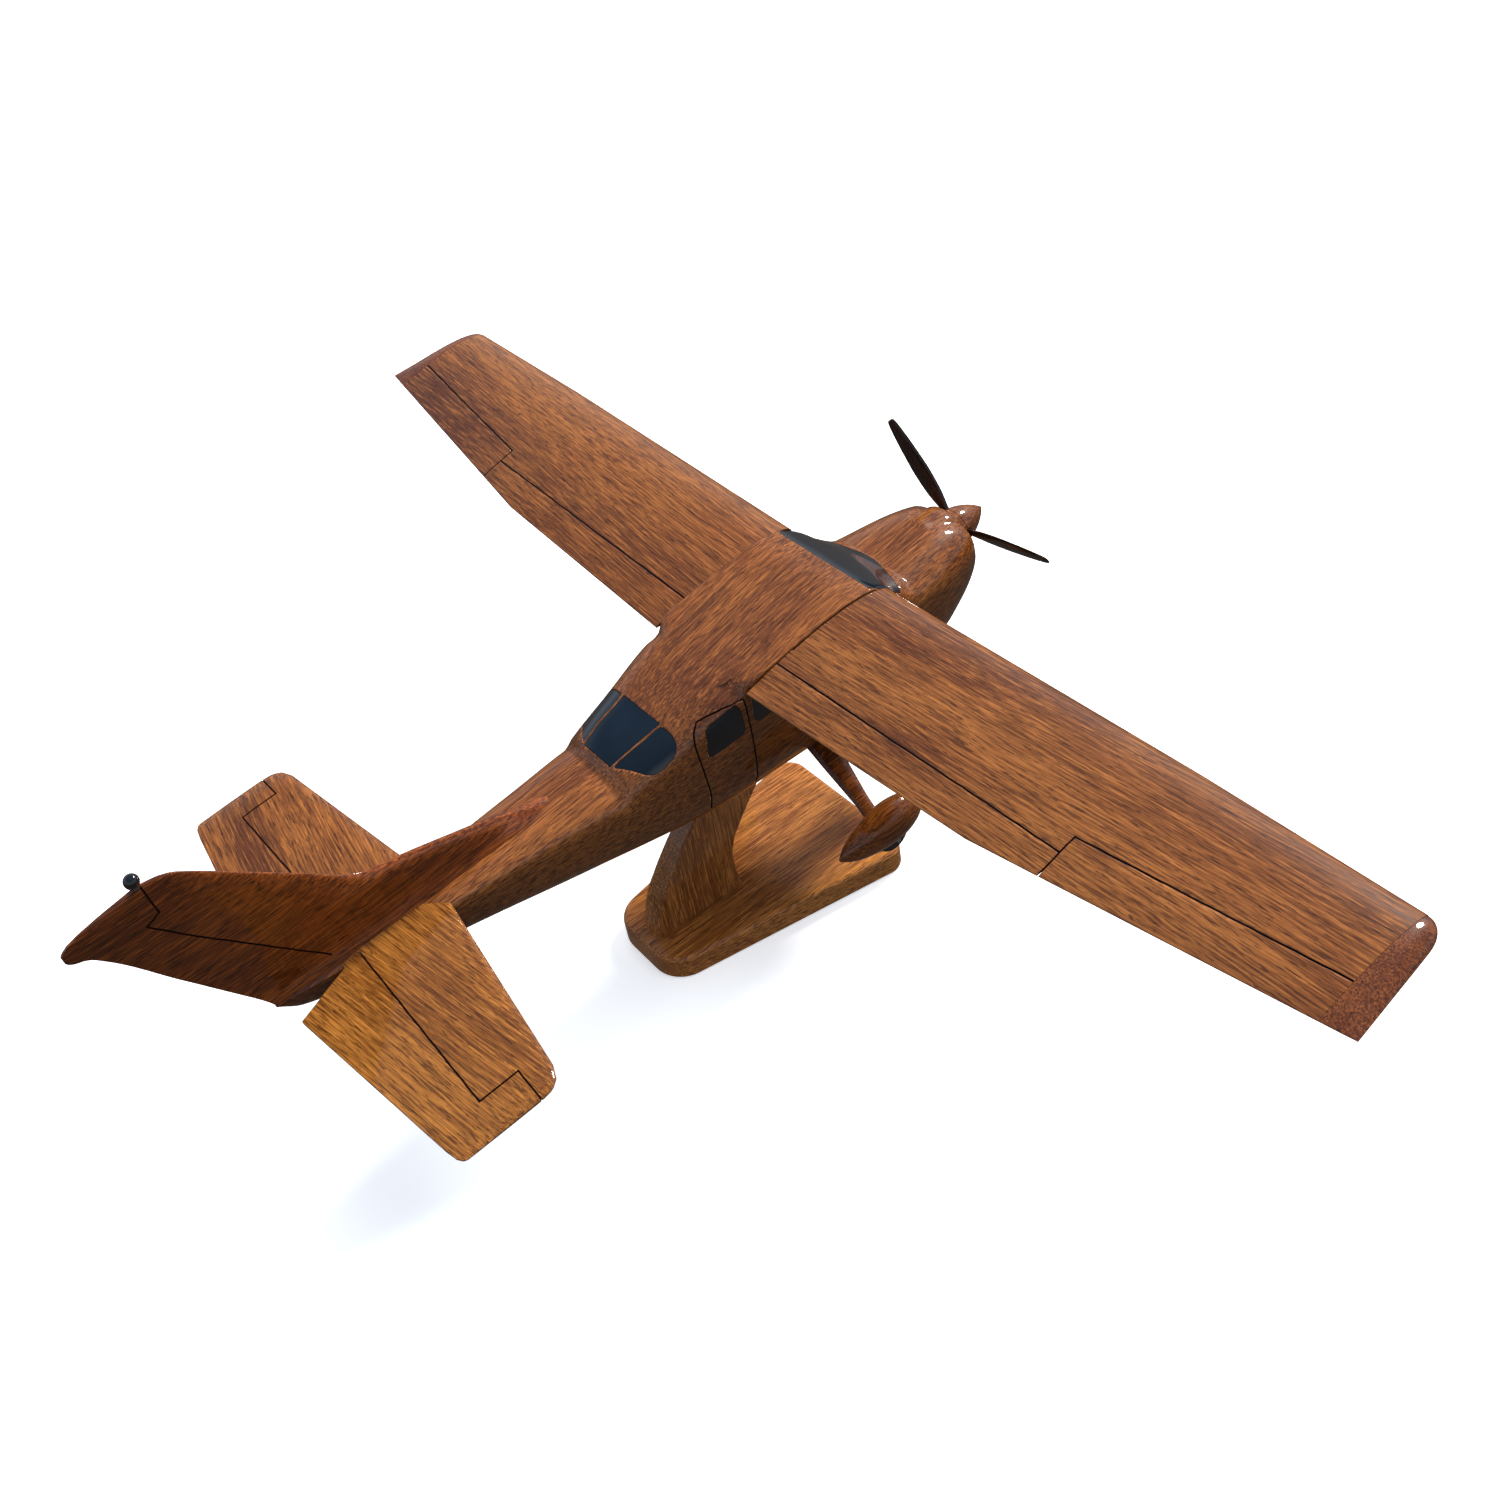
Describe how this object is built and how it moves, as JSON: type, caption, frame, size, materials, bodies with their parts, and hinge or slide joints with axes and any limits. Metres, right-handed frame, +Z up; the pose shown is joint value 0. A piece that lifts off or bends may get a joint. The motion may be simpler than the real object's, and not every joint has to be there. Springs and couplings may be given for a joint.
{
  "type": "propeller plane model",
  "caption": "Carved wooden desk model of a high-wing propeller aeroplane with spatted gear and dark inlaid windows, on a display stand.",
  "frame": {"origin": "centre of the underside of the stand's base", "axes": "+Z up, -Y towards the aeroplane's nose, +X towards its port (left) wing tip"},
  "size_m": [0.3802, 0.2778, 0.1296],
  "materials": {
    "fuselage_wood": "glossy lacquer over mid reddish-brown wood, grain along the fuselage",
    "wing_wood": "glossy lacquer over streaked reddish-brown wood, grain along the span",
    "wing_tip_wood": "glossy lacquer over redder end-grain wood",
    "tail_wood": "glossy lacquer over mid brown wood with a darker streak",
    "fin_wood": "glossy lacquer over darker brown wood",
    "gear_wood": "glossy lacquer over brown wood",
    "propeller_wood": "glossy lacquer over dark chocolate stained wood",
    "stand_wood": "glossy lacquer over orange-brown wood with darker edges",
    "dowel_wood": "plain unfinished dowel",
    "glazing": "high-gloss blue-black inlay",
    "beacon": "high-gloss black bead",
    "wheel": "satin black",
    "steel": "plain bright steel"
  },
  "bodies": {
    "stand": {"stand_base": "stand_wood", "stand_pillar": "stand_wood", "stand_peg": "dowel_wood", "stand_screw_front": "steel", "stand_screw_rear": "steel"},
    "airframe": {"axle_pin_nose": "steel", "axle_pin_port": "steel", "axle_pin_starboard": "steel", "beacon": "beacon", "cabin_window_port": "glazing", "cabin_window_starboard": "glazing", "door_window_port": "glazing", "door_window_starboard": "glazing", "fin": "fin_wood", "fin_dowel": "dowel_wood", "fuselage": "fuselage_wood", "gear_leg_nose": "gear_wood", "gear_leg_port": "gear_wood", "gear_leg_starboard": "gear_wood", "propeller_pin": "steel", "rear_window_centre": "glazing", "rear_window_port": "glazing", "rear_window_starboard": "glazing", "stabilizer_dowel": "dowel_wood", "stabilizer_port": "tail_wood", "stabilizer_starboard": "tail_wood", "wheel_fairing_nose": "gear_wood", "wheel_fairing_port": "gear_wood", "wheel_fairing_starboard": "gear_wood", "windshield": "glazing", "wing_dowel_port_front": "dowel_wood", "wing_dowel_port_rear": "dowel_wood", "wing_dowel_starboard_front": "dowel_wood", "wing_dowel_starboard_rear": "dowel_wood", "wing_port": "wing_wood", "wing_starboard": "wing_wood", "wing_tip_port": "wing_tip_wood", "wing_tip_starboard": "wing_tip_wood"},
    "propeller": {"spinner": "fuselage_wood", "propeller_blade_1": "propeller_wood", "propeller_blade_2": "propeller_wood", "propeller_blade_3": "propeller_wood"},
    "port_wheel": {"wheel_port": "wheel"},
    "starboard_wheel": {"wheel_starboard": "wheel"},
    "nose_wheel": {"wheel_nose": "wheel"}
  },
  "joints": [
    {"name": "lift_off_stand", "type": "slide", "parent": "stand", "child": "airframe", "axis": [0, 0, 1], "range_m": [0, 0.03]},
    {"name": "propeller_spin", "type": "hinge", "parent": "airframe", "child": "propeller", "pos_m": [0, -0.08987, 0.08231], "axis": [0, 0.9955, -0.095], "continuous": true},
    {"name": "port_wheel_roll", "type": "hinge", "parent": "airframe", "child": "port_wheel", "pos_m": [0.042, -0.02211, 0.03757], "axis": [1, 0, 0], "continuous": true},
    {"name": "starboard_wheel_roll", "type": "hinge", "parent": "airframe", "child": "starboard_wheel", "pos_m": [-0.042, -0.02211, 0.03757], "axis": [1, 0, 0], "continuous": true},
    {"name": "nose_wheel_roll", "type": "hinge", "parent": "airframe", "child": "nose_wheel", "pos_m": [0, -0.07089, 0.04223], "axis": [1, 0, 0], "continuous": true}
  ]
}
